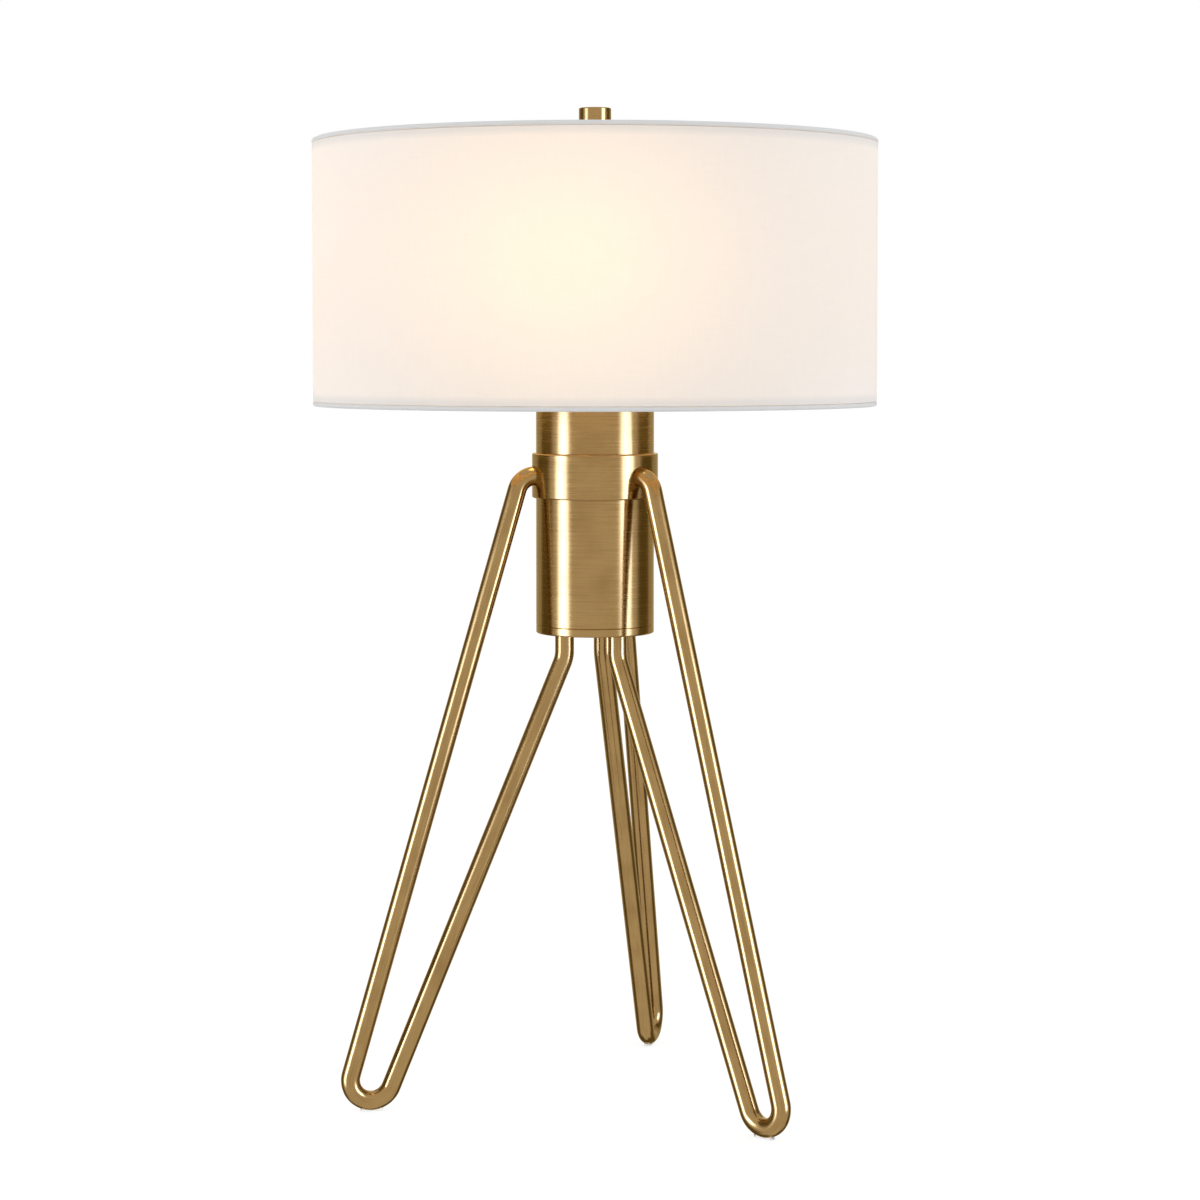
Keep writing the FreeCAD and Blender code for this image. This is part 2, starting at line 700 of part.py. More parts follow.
def socket_liner():
    """Fibre sleeve between the metal shell and the live parts."""
    sleeve = tube(liner_r, liner_in_r, shell_z0, shell_z1 - LINER_SHORT)
    return sleeve.cut(switch_hole(SWITCH_SHAFT_D / 2 + SWITCH_HOLE_GAP))


def socket_switch_body():
    """Moulded block that holds the switch, the terminals and the screw shell."""
    foot_r = switch_body_r - BODY_STEP
    z0 = pipe_top_z + CAP_DOME_H / 2
    step_z = pipe_top_z + CAP_DOME_H
    body = turned(
        [
            (0, z0),
            (foot_r, z0),
            (foot_r, step_z),
            (switch_body_r, step_z + BODY_STEP / 2),
            (switch_body_r, body_top_z),
            (0, body_top_z),
        ]
    )
    depth = SHAFT_IN_BODY + SEAT_GAP
    bottom = vec(0, depth - switch_body_r, switch_z)
    hole = cylinder(SWITCH_SHAFT_D / 2 + THREAD_GAP, depth, bottom, vec(0, -1))
    return body.cut([hole] + terminal_positions(terminal_shank, THREAD_GAP))


def terminal_positions(maker, gap=0.0):
    """The two terminals stand opposite each other, square to the switch shaft."""
    screw = maker(gap)
    return [screw, about_axis(screw, 180)]


def terminal_shank(gap):
    base = vec(switch_body_r - TERMINAL_SHANK_L, 0, switch_z)
    return cylinder(TERMINAL_SHANK_D / 2 + gap, TERMINAL_SHANK_L, base, vec(1, 0))


def terminal_screw(gap):
    """Shank in the moulded block and a flat head outside it."""
    head = cylinder(TERMINAL_D / 2, TERMINAL_ROOM / 2, vec(switch_body_r, 0, switch_z), vec(1, 0))
    return terminal_shank(gap).fuse(head).removeSplitter()


def socket_terminal_screws():
    return Part.Compound(terminal_positions(terminal_screw))


def socket_screw_shell():
    """Rolled-thread shell that takes the bulb."""
    return rolled_thread(screw_shell_r, SCREW_SHELL_WALL, body_top_z, body_top_z + SCREW_SHELL_H)


def socket_contact():
    """Springy centre tab under the bulb's tip."""
    tab = Part.makeBox(CONTACT_L, CONTACT_W, CONTACT_T, vec(-CONTACT_L / 2, -CONTACT_W / 2, body_top_z))
    button = cylinder(CONTACT_BUTTON_D / 2, CONTACT_T, vec(0, 0, body_top_z + CONTACT_T))
    return tab.fuse(button)


def switch_shaft():
    knob_y = shell_r + KNOB_STANDOFF
    start = switch_body_r - SHAFT_IN_BODY
    length = knob_y + SHAFT_IN_KNOB - start
    return cylinder(SWITCH_SHAFT_D / 2, length, vec(0, -start, switch_z), vec(0, -1))


def switch_knob():
    """Fluted turn knob on the end of the switch shaft."""
    base = vec(0, -(shell_r + KNOB_STANDOFF), switch_z)
    out = vec(0, -1)
    knob = cylinder(KNOB_D / 2, KNOB_L, base, out)
    knob = knob.makeChamfer(KNOB_CHAMFER, [e for e in knob.Edges if e.Closed])
    for i in range(KNOB_FLUTES):
        angle = i * 2 * math.pi / KNOB_FLUTES
        offset = vec(math.cos(angle), 0, math.sin(angle)) * (KNOB_D / 2)
        flute_base = base + offset + out * KNOB_SKIRT
        knob = knob.cut(cylinder(KNOB_FLUTE_D / 2, KNOB_L, flute_base, out))
    return knob.cut(cylinder(SWITCH_SHAFT_D / 2 + SLIP_FIT / 2, SHAFT_IN_KNOB, base, out))


# ---------------------------------------------------------------- bulb


def bulb_globe():
    """Frosted envelope: a dome that narrows smoothly to the collar."""
    rim_r = BULB_COLLAR_R - BULB_GLASS_T / 2

    def envelope(inset):
        radius = BULB_R - inset
        root = vec(0, 0, bulb_collar_top_z)
        foot = root + vec(rim_r - inset, 0)

        def on_dome(degrees):
            angle = math.radians(degrees)
            return vec(math.cos(angle) * radius, 0, bulb_centre_z + math.sin(angle) * radius)

        waist, shoulder, top = on_dome(BULB_WAIST_ANGLE), on_dome(30), on_dome(90)
        handle = (waist - foot).Length / 3
        falling = vec(0, 1).cross(vec(0, 0, bulb_centre_z) - waist).normalize() * -handle
        neck = Part.BezierCurve()
        neck.setPoles([foot, foot + UP * handle, waist + falling, waist])
        edges = [
            Part.LineSegment(root, foot).toShape(),
            neck.toShape(),
            Part.Arc(waist, shoulder, top).toShape(),
            Part.LineSegment(top, root).toShape(),
        ]
        return Part.Face(Part.Wire(edges)).revolve(ORIGIN, UP, 360)

    return envelope(0.0).cut(envelope(BULB_GLASS_T))


def bulb_collar():
    """Moulded body between the envelope and the screw cap."""
    plug_r = BULB_SCREW_D / 2 - BULB_SCREW_WALL - THREAD_DEPTH - SLIP_FIT
    plug_z = bulb_collar_z - BULB_PLUG_H
    return turned(
        [
            (0, plug_z),
            (plug_r, plug_z),
            (plug_r, bulb_collar_z),
            (BULB_NECK_R, bulb_collar_z),
            (BULB_COLLAR_R, bulb_collar_z + BULB_TAPER_H),
            (BULB_COLLAR_R, bulb_collar_top_z),
            (0, bulb_collar_top_z),
        ]
    )


def bulb_screw_shell():
    return rolled_thread(BULB_SCREW_D / 2, BULB_SCREW_WALL, bulb_shell_z0, bulb_collar_z)


def bulb_insulator():
    """Dark cone between the screw shell and the tip."""
    shell_in = BULB_SCREW_D / 2 - BULB_SCREW_WALL
    z0 = bulb_z + BULB_TIP_H
    return turned([(0, z0), (BULB_TIP_R, z0), (shell_in, bulb_shell_z0), (0, bulb_shell_z0)])


def bulb_tip():
    z0 = bulb_z
    z1 = bulb_z + BULB_TIP_H
    return turned([(0, z0), (BULB_TIP_FLAT_R, z0), (BULB_TIP_R, z1), (0, z1)])


# ---------------------------------------------------------------- shade and finial


def shade_fabric():
    return tube(shade_r, liner_out_r, wall_bottom_z, wall_top_z)


def shade_liner():
    """Stiff translucent backing that the fabric is bonded to."""
    return tube(liner_out_r, liner_out_r - LINER_T, wall_bottom_z, wall_top_z)


def rolled_points(radius, ring_z, away, last):
    """Corners of a many-sided roll about the ring wire, from its outermost one to number last."""
    step = math.tau / HEM_SIDES
    turns = [i * step for i in range(last + 1)]
    return [
        (ring_reach + radius * math.cos(a), ring_z + away * radius * math.sin(a)) for a in turns
    ]


def shade_hem(ring_z, wall_z):
    """Fabric rolled round a wire ring at ring_z, and laid against the wall's edge at wall_z."""
    away = math.copysign(1, ring_z - wall_z)
    outside = rolled_points(hem_r, ring_z, away, HEM_SIDES * 3 // 4)
    hole_r = (ring_r + SLIP_FIT) / math.cos(math.pi / HEM_SIDES)
    inside = rolled_points(hole_r, ring_z, away, HEM_SIDES - 1)
    return turned(outside + [(ring_reach + hem_r, wall_z)]).cut(turned(inside))


def shade_top_hem():
    """The upper hem has a notch where each spider arm reaches the ring."""
    hem = shade_hem(ring_top_z, wall_top_z)
    start = vec(ring_reach - hem_r * 2, 0, ring_top_z)
    notch = cylinder(SPIDER_WIRE_D / 2 + SLIP_FIT, hem_r * 2 - ring_r / 2, start, vec(1, 0))
    return hem.cut([about_axis(notch, a) for a in arm_angles()])


def arm_angles():
    return [BACK_LEG_ANGLE + i * 360 / SPIDER_ARMS for i in range(SPIDER_ARMS)]


def spider_arm():
    """Wire from the hub to the top ring, level at first and then rising."""
    z_hub = spider_z + SPIDER_HUB_T / 2
    start = vec(SPIDER_HUB_D / 2 + SLIP_FIT, 0, z_hub)
    end = vec(ring_reach - ring_r - SLIP_FIT, 0, ring_top_z)
    flat = vec(end.x - hem_r * 2, 0, ring_top_z)
    rise = vec(flat.x - SPIDER_RISE_RUN, 0, z_hub)
    route = rounded_route([start, rise, flat, end], [SPIDER_BEND_R, SPIDER_BEND_R / 4])
    return round_bar(route, SPIDER_WIRE_D / 2)


def shade_spider_arms():
    arm = spider_arm()
    return Part.Compound([about_axis(arm, a) for a in arm_angles()])


def shade_spider_hub():
    bore = stud_r + STUD_CLEARANCE
    return tube(SPIDER_HUB_D / 2, bore, spider_z, spider_z + SPIDER_HUB_T)


def finial():
    """Plain turned cylinder with a blind thread for the harp's stud."""
    body = cylinder(FINIAL_D / 2, FINIAL_H, vec(0, 0, finial_z))
    body = body.makeFillet(FINIAL_ROUND, [e for e in body.Edges if e.Closed])
    bore = cylinder(stud_r + THREAD_GAP * 2, FINIAL_BORE_DEPTH, vec(0, 0, finial_z))
    return body.cut(bore)


# ---------------------------------------------------------------- the lamp

PARTS = {
    **{f"leg_{name}": about_axis(leg(), angle) for name, angle in zip(LEG_NAMES, leg_angles)},
    "foot_pads": at_each_leg(foot_pad()),
    "leg_saddle_washers": at_each_leg(saddle_washer()),
    "leg_top_nuts": at_each_leg(top_nut()),
    "leg_stem_washers": at_each_leg(stem_washer()),
    "leg_stem_nuts": at_each_leg(stem_nut()),
    "canister_tube": canister_tube(),
    "collar_band": collar_band(),
    "base_cap": base_cap(),
    "top_dish": top_dish(),
    "lamp_pipe": lamp_pipe(),
    "pipe_locknut_bottom": pipe_locknut_bottom(),
    "pipe_locknut_top": pipe_locknut_top(),
    "pipe_star_washer": star_washer(),
    "cord_bushing": cord_bushing(),
    "harp_saddle": harp_saddle(),
    "harp_wire": harp_wire(),
    "harp_stud": harp_stud(),
    "harp_ferrule_left": ferrule(-1),
    "harp_ferrule_right": ferrule(+1),
    "socket_cap": socket_cap(),
    "socket_set_screw": set_screw(),
    "socket_shell": socket_shell(),
    "socket_liner": socket_liner(),
    "socket_switch_body": socket_switch_body(),
    "socket_terminal_screws": socket_terminal_screws(),
    "socket_screw_shell": socket_screw_shell(),
    "socket_contact": socket_contact(),
    "switch_shaft": switch_shaft(),
    "switch_knob": switch_knob(),
    "bulb_globe": bulb_globe(),
    "bulb_collar": bulb_collar(),
    "bulb_screw_shell": bulb_screw_shell(),
    "bulb_insulator": bulb_insulator(),
    "bulb_tip": bulb_tip(),
    "shade_fabric": shade_fabric(),
    "shade_liner": shade_liner(),
    "shade_top_ring": ring(ring_reach, ring_r, ring_top_z),
    "shade_bottom_ring": ring(ring_reach, ring_r, ring_bottom_z),
    "shade_top_hem": shade_top_hem(),
    "shade_bottom_hem": shade_hem(ring_bottom_z, wall_bottom_z),
    "shade_spider_arms": shade_spider_arms(),
    "shade_spider_hub": shade_spider_hub(),
    "finial": finial(),
}

os.makedirs("parts", exist_ok=True)
for node, shape in PARTS.items():
    shape.exportStep(f"parts/{node}.step")
    solids = shape.Solids
    valid = all(s.isValid() and s.Volume > 0 for s in solids)
    print(f"{node:24s} solids {len(solids)}  valid {valid}  volume {shape.Volume:12.1f}")
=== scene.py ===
"""Looks of the tripod table lamp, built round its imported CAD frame.

Metres, +Z up. The lamp stands on the floor at the origin, and its front faces -Y.
"""

import json
import math

import bpy
from mathutils import Matrix, Vector

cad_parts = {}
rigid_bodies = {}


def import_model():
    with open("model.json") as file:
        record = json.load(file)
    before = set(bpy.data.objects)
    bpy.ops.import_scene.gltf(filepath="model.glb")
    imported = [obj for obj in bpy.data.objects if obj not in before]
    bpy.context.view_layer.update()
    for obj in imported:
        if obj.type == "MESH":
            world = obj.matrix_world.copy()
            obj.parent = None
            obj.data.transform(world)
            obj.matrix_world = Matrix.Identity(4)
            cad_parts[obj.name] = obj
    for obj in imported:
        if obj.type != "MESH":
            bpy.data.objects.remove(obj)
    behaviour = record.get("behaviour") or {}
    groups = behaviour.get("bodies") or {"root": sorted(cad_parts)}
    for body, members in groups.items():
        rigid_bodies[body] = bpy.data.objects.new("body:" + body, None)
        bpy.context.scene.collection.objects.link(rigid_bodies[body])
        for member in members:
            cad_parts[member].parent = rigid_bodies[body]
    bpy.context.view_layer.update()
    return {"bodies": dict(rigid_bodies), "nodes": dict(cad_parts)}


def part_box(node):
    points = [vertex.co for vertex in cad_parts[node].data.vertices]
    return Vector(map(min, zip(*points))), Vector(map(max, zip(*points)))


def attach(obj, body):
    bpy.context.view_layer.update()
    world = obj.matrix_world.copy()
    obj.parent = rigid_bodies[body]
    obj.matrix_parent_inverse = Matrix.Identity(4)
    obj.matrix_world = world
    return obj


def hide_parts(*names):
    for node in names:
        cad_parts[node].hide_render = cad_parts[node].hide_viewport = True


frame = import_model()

nodes = frame["nodes"]

# ---------------------------------------------------------------- sizes

ROD_R = 0.006
TENON_R = 0.004
TENON_SLACK = 1.2              # what lies within this times TENON_R of a tenon's axis is the tenon
TENON_PROUD = 0.0015           # top of the stem nut to the tenon's end
FOOT_REACH = 0.1452            # lamp axis to the centre of the foot bend
FOOT_BEND_R = 0.0135           # bend radii are to the rod's centre line
SHOULDER_OUT = 0.0082          # collar face to the corner of the top bend
TOP_BEND_R = 0.012
STEM_REACH = 0.020             # lamp axis to the rod's lower end
STEM_DROP = 0.0152             # base cap to the corner of the stem bend
STEM_BEND_R = 0.020
STEM_PORT_DEPTH = 0.002
PAD_T = 0.0005
LEG_ANGLES = {"leg_back": 75, "leg_left": 195, "leg_right": 315}

HEM_R = 0.0016
HEM_ROLL = (-78, 258)          # where the roll leaves and meets the wall, in degrees
LINER_INSET = 0.0002
SEAM_ANGLE = 100               # the shade's lap seam, at the back
SEAM_W = 0.012
SEAM_RISE = SEAM_W / 3         # width over which the seam rises
SEAM_PROUD = 0.0004
RIPPLE = 0.00004
RIPPLE_WAVES = ((31, 0.0), (47, 1.3), (83, 0.4))  # waves round the shade, and their phases

# ---------------------------------------------------------------- fineness of the meshes

SHARP_ANGLE = 35               # faces that meet at more than this keep a hard edge
BEND_STEP = math.radians(4)
LEG_STEP = 0.008
ROD_SIDES = 40
WALL_ROWS = 24
WALL_SIDES = 720
HEM_STEPS = 24
HEM_SIDES = 480
CARD_STEPS = 16


def reach(node):
    """Largest distance of a node from the lamp's axis."""
    return max(math.hypot(v.co.x, v.co.y) for v in nodes[node].data.vertices)


def levels(node):
    """Lowest and highest z of a node."""
    low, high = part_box(node)
    return low.z, high.z


tube_r = reach("canister_tube")
collar_r = reach("collar_band")
collar_mid_z = sum(levels("collar_band")) / 2
base_z = levels("base_cap")[0]
shade_r = reach("shade_fabric")
liner_r = reach("shade_liner")
wall_z0, wall_z1 = levels("shade_fabric")
globe_r = reach("bulb_globe")
globe_mid_z = levels("bulb_globe")[1] - globe_r

# ---------------------------------------------------------------- mesh building


def new_object(name, data):
    """An object with this data, linked to the scene."""
    piece = bpy.data.objects.new(name, data)
    bpy.context.scene.collection.objects.link(piece)
    return piece


def skin(name, rings, along, girth, closed=False, caps=False):
    """A surface through rings of equally many points.

    Its UVs are metres: girth round, along length.
    """
    count = len(rings[0])
    mesh = bpy.data.meshes.new(name)
    spans = len(rings) if closed else len(rings) - 1
    faces = []
    for i in range(spans):
        here, there = i * count, (i + 1) % len(rings) * count
        for j in range(count):
            k = (j + 1) % count
            faces.append((here + j, here + k, there + k, there + j))
    if caps:
        faces.append(tuple(reversed(range(count))))
        faces.append(tuple(range(spans * count, (spans + 1) * count)))
    mesh.from_pydata([p for ring in rings for p in ring], [], faces)
    uv = mesh.uv_layers.new(name="UVMap").data
    for face in list(mesh.polygons)[: spans * count]:
        i, j = divmod(face.index, count)
        corners = [(j, i), (j + 1, i), (j + 1, i + 1), (j, i + 1)]
        for loop, (around, step) in zip(face.loop_indices, corners):
            uv[loop].uv = (around / count * girth, along[step])
    mesh.validate()
    mesh.shade_smooth()
    mesh.set_sharp_from_angle(angle=math.radians(SHARP_ANGLE))
    return new_object(name, mesh)


def lengths(points):
    """Distance along a line of points, at each one."""
    total = [0.0]
    for a, b in zip(points, points[1:]):
        total.append(total[-1] + math.dist(a, b))
    return total


def turned(name, outline, sides, bulge, closed):
    """A surface of revolution about the lamp's axis, from its (radius, height) outline.

    bulge(angle) is added to the radius.
    """
    angles = [math.tau * j / sides for j in range(sides)]
    proud = [bulge(a) for a in angles]
    rings = [
        [((r + d) * math.cos(a), (r + d) * math.sin(a), z) for a, d in zip(angles, proud)]
        for r, z in outline
    ]
    along = lengths(outline + outline[:1] if closed else outline)
    return skin(name, rings, along, math.tau * outline[0][0], closed)


def bent(corners, radii):
    """Points of a line whose corners are rounded to the radii, in two dimensions."""
    points = [Vector(corners[0])]
    for i, radius in enumerate(radii, start=1):
        corner = Vector(corners[i])
        back = (Vector(corners[i - 1]) - corner).normalized()
        on = (Vector(corners[i + 1]) - corner).normalized()
        half = back.angle(on) / 2
        centre = corner + (back + on).normalized() * (radius / math.sin(half))
        start = corner + back * (radius / math.tan(half)) - centre
        sweep = (math.pi - half * 2) * math.copysign(1, back.x * on.y - back.y * on.x) * -1
        count = max(2, math.ceil(abs(sweep) / BEND_STEP))
        for j in range(count + 1):
            points.append(centre + Matrix.Rotation(sweep * j / count, 2) @ start)
    points.append(Vector(corners[-1]))
    return points


def filled(points, gap):
    """The same line with no stretch longer than gap."""
    line = [points[0]]
    for a, b in zip(points, points[1:]):
        count = max(1, math.ceil((b - a).length / gap))
        line += [a.lerp(b, k / count) for k in range(1, count + 1)]
    return line


def rod(name, line, radii):
    """A round bar along a line in the plane of radius and height, with a radius for each point."""
    rings = []
    for i, (point, radius) in enumerate(zip(line, radii)):
        heading = line[min(i + 1, len(line) - 1)] - line[max(i - 1, 0)]
        across = Vector((-heading.y, heading.x)).normalized()
        ring = []
        for j in range(ROD_SIDES):
            a = math.tau * j / ROD_SIDES
            flat = point + across * radius * math.cos(a)
            ring.append((flat.x, radius * math.sin(a), flat.y))
        rings.append(ring)
    return skin(name, rings, lengths(line), math.tau * max(radii), caps=True)


def turn(piece, degrees):
    """Turns a piece about the lamp's axis."""
    piece.data.transform(Matrix.Rotation(math.radians(degrees), 4, "Z"))
    return piece


# ---------------------------------------------------------------- shader building


def node_maker(tree):
    """Empties a tree, and returns the function that adds a node to it.

    make(kind, inputs, **settings) returns the new node. An input is a value or another node's
    output.
    """
    tree.nodes.clear()

    def make(kind, inputs=None, **settings):
        node = tree.nodes.new("ShaderNode" + kind)
        for key, value in settings.items():
            setattr(node, key, value)
        for key, value in (inputs or {}).items():
            if isinstance(value, bpy.types.NodeSocket):
                tree.links.new(value, node.inputs[key])
            else:
                node.inputs[key].default_value = value
        return node

    return make


def new_material(name):
    """A material and the function that adds a node to it."""
    material = bpy.data.materials.new(name)
    material.use_nodes = True
    return material, node_maker(material.node_tree)


def finish_surface(make, inputs):
    """Ends a material in a Principled surface with these inputs."""
    make("OutputMaterial", {"Surface": make("BsdfPrincipled", inputs).outputs[0]})


def calculated(make, operation, *values):
    """The output of a Math node."""
    return make("Math", dict(enumerate(values)), operation=operation).outputs[0]


def scaled_noise(make, coordinate, scale, detail=3.0, seed=0.0):
    """Noise of 0 to 1, whose cells are 1 / scale metres along each axis."""
    mapping = make("Mapping", {"Vector": coordinate, "Location": (seed,) * 3, "Scale": scale})
    inputs = {"Vector": mapping.outputs[0], "Scale": 1.0, "Detail": detail}
    return make("TexNoise", inputs).outputs["Fac"]


def ranged(make, value, low, high, start=0.3, end=0.7, **settings):
    """value taken from the range start to end, to the range low to high."""
    inputs = {"Value": value, "From Min": start, "From Max": end, "To Min": low, "To Max": high}
    return make("MapRange", inputs, **settings).outputs["Result"]


def uneven(make, noise, middle, spread):
    """A value that goes from middle - spread to middle + spread with the noise."""
    return ranged(make, noise, middle - spread, middle + spread)


def blended(make, factor, a, b):
    """A colour between a and b, each of them a colour or another node's output."""
    a, b = (end if isinstance(end, bpy.types.NodeSocket) else (*end, 1) for end in (a, b))
    return make("Mix", {"Factor": factor, 6: a, 7: b}, data_type="RGBA").outputs[2]


def dimmed(colour, share):
    """A colour times share."""
    return tuple(c * share for c in colour)


# ---------------------------------------------------------------- materials

BRASS = (0.352, 0.216, 0.074)
BRASS_DEEP = (0.270, 0.157, 0.047)
BRASS_EDGE = (1.0, 0.84, 0.5, 1)
BRASS_TONES = (0.08, 0.3)      # grain times cloud, from the deep colour to the plain one
BRASS_CLOUD = (45, 45, 45)
TURNED_GRAIN = (24, 24, 1700)  # scratches run round the axis
TURNED_BUMP = 0.14
DRAWN_GRAIN = (1300, 55, 1)    # scratches run along the rod
DRAWN_BUMP = 0.04


def brass(name, drawn=False, roughness=0.25, anisotropy=0.8):
    """Brushed brass with a thin clear lacquer."""
    material, make = new_material(name)
    places = make("TexCoord")
    coordinate = places.outputs["UV" if drawn else "Object"]
    grain = scaled_noise(make, coordinate, DRAWN_GRAIN if drawn else TURNED_GRAIN, detail=1.5)
    cloud = scaled_noise(make, places.outputs["Object"], BRASS_CLOUD, seed=3.0)
    tone = ranged(make, calculated(make, "MULTIPLY", grain, cloud), 0, 1, *BRASS_TONES)
    strength = DRAWN_BUMP if drawn else TURNED_BUMP
    bump = make("Bump", {"Strength": strength, "Distance": 0.00003, "Height": grain})
    if drawn:
        tangent = make("Tangent", direction_type="UV_MAP")
    else:
        tangent = make("Tangent", direction_type="RADIAL", axis="Z")
    finish_surface(make, {
        "Base Color": blended(make, tone, BRASS_DEEP, BRASS),
        "Metallic": 1.0,
        "Roughness": uneven(make, grain, roughness, 0.03),
        "Anisotropic": anisotropy,
        "Anisotropic Rotation": 0.0 if drawn else 0.25,
        "Tangent": tangent.outputs[0],
        "Normal": bump.outputs[0],
        "Specular Tint": BRASS_EDGE,
        "Coat Weight": 0.35,
        "Coat Roughness": 0.1,
    })
    return material


CLOUD_SIZE = 12                  # cells of a plain surface's cloud, in cells of its fine texture


def plain(
    name, colour, deep, roughness, metallic=0.0, transmission=0.0, cells=900, depth=0.00002
):
    """A surface of one colour with fine, uneven texture."""
    material, make = new_material(name)
    coordinate = make("TexCoord").outputs["Object"]
    fine = scaled_noise(make, coordinate, (cells,) * 3)
    cloud = scaled_noise(make, coordinate, (cells / CLOUD_SIZE,) * 3, seed=5.0)
    bump = make("Bump", {"Strength": 0.4, "Distance": depth, "Height": fine})
    finish_surface(make, {
        "Base Color": blended(make, ranged(make, cloud, 0, 1), deep, colour),
        "Roughness": uneven(make, fine, roughness, 0.05),
        "Metallic": metallic,
        "Normal": bump.outputs[0],
        "Transmission Weight": transmission,
    })
    return material


# Painted light: the shade's wall and liner glow by emission that stands in for the bulb's light on
# the fabric.
GLOW = (1.0, 0.52, 0.12)         # light that has come through the fabric
GLOW_INSIDE = (1.0, 0.78, 0.46)  # light that hasn't
GLOW_FROM = (-0.015, 0.0, globe_mid_z)
GLOW_FALL = -3.0                 # power of the distance with which the glow falls
# Painted shade: the wall's colour and its painted glow are dimmed towards the hems, where the hem
# layers keep the bulb's light out.
HEM_SHADE = (0.0016, 0.0055)     # the wall dims towards its hems, from here to there
HEM_SHADE_TONE = 0.92                  # share of the wall's colour that is left at the hems
HEM_SHADE_GLOW = 0.4                   # share of its glow that is left there
SLUB_GRAIN = (60, 900, 1)
WARP_GRAIN = (900, 60, 1)
THREAD_TONES = (0.7, 1.3)        # slub plus warp, from the deeper colour to the plain one
THREAD_DIM = 0.97                # the deeper colour, as a share of the plain one
WAVE_LENGTH = math.pi / 10       # of the wave texture at a scale of 1


def weave(make, pitch):
    """Height of a plain weave, with threads of uneven thickness."""
    uv = make("TexCoord").outputs["UV"]
    waves = []
    for axis in "XY":
        inputs = {
            "Vector": uv,
            "Scale": WAVE_LENGTH / pitch,
            "Distortion": 1.2,
            "Detail": 1.0,
            "Detail Scale": 2.0,
        }
        wave = make("TexWave", inputs, bands_direction=axis, wave_profile="SIN")
        waves.append(wave.outputs["Fac"])
    return calculated(make, "MAXIMUM", *waves)


def painted_glow_strength(make, level):
    """Strength of the painted glow that stands for the bulb's light; it falls with the distance
    from where it glows.
    """
    place = make("TexCoord").outputs["Object"]
    distance = make("VectorMath", {0: place, 1: GLOW_FROM}, operation="DISTANCE")
    share = calculated(make, "DIVIDE", distance.outputs["Value"], shade_r)
    return calculated(make, "MULTIPLY", calculated(make, "POWER", share, GLOW_FALL), level)


def near_hem(make):
    """0 at the hems of the shade and 1 away from them: the mask of the painted shade towards the
    hems.
    """
    height = make("SeparateXYZ", {0: make("TexCoord").outputs["Object"]}).outputs["Z"]
    offset = calculated(make, "SUBTRACT", height, (wall_z0 + wall_z1) / 2)
    away = calculated(make, "ABSOLUTE", offset)
    room = calculated(make, "SUBTRACT", (wall_z1 - wall_z0) / 2, away)
    return ranged(make, room, 0, 1, *HEM_SHADE)


def cloth(name, colour, glow=None, transmission=0.0, pitch=0.0005):
    """Woven fabric. Where glow gives a colour and a strength, the fabric gets a painted glow by
    emission that stands for the bulb's light from inside.
    """
    material, make = new_material(name)
    uv = make("TexCoord").outputs["UV"]
    slub = scaled_noise(make, uv, SLUB_GRAIN, seed=2.0)
    warp = scaled_noise(make, uv, WARP_GRAIN, seed=7.0)
    threads = ranged(make, calculated(make, "ADD", slub, warp), 0, 1, *THREAD_TONES)
    bump = make("Bump", {"Strength": 0.4, "Distance": 0.00006, "Height": weave(make, pitch)})
    tone = blended(make, threads, dimmed(colour, THREAD_DIM), colour)
    inputs = {
        "Roughness": 1.0,
        "Specular IOR Level": 0.2,
        "IOR": 1.8,
        "Sheen Weight": 0.15,
        "Normal": bump.outputs[0],
        "Transmission Weight": transmission,
    }
    # painted glow: emission on the fabric in place of the bulb's light through it
    if glow:
        light, level = glow
        # painted shade towards the hems, in the colour and in the glow
        edge = near_hem(make)
        tone = blended(make, edge, dimmed(colour, HEM_SHADE_TONE), tone)
        kept = ranged(make, edge, HEM_SHADE_GLOW, 1, start=0, end=1)
        strength = calculated(make, "MULTIPLY", painted_glow_strength(make, level), kept)
        inputs["Emission Color"] = (*light, 1)
        inputs["Emission Strength"] = strength
    inputs["Base Color"] = tone
    finish_surface(make, inputs)
    return material


GLASS = (0.62, 0.56, 0.47)
GLASS_DEEP = (0.56, 0.5, 0.41)
GLASS_GLOW = (1.0, 0.8, 0.52, 1)
FROST_GRAIN = (1500, 1500, 1500)


def lit_glass(name, strength):
    """Frosted glass, lit from inside."""
    material, make = new_material(name)
    coordinate = make("TexCoord").outputs["Object"]
    frost = scaled_noise(make, coordinate, FROST_GRAIN)
    bump = make("Bump", {"Strength": 0.2, "Distance": 0.00002, "Height": frost})
    finish_surface(make, {
        "Base Color": blended(make, frost, GLASS_DEEP, GLASS),
        "Roughness": 0.35,
        "Normal": bump.outputs[0],
        "Emission Color": GLASS_GLOW,
        "Emission Strength": strength,
    })
    material.cycles.emission_sampling = "NONE"
    return material


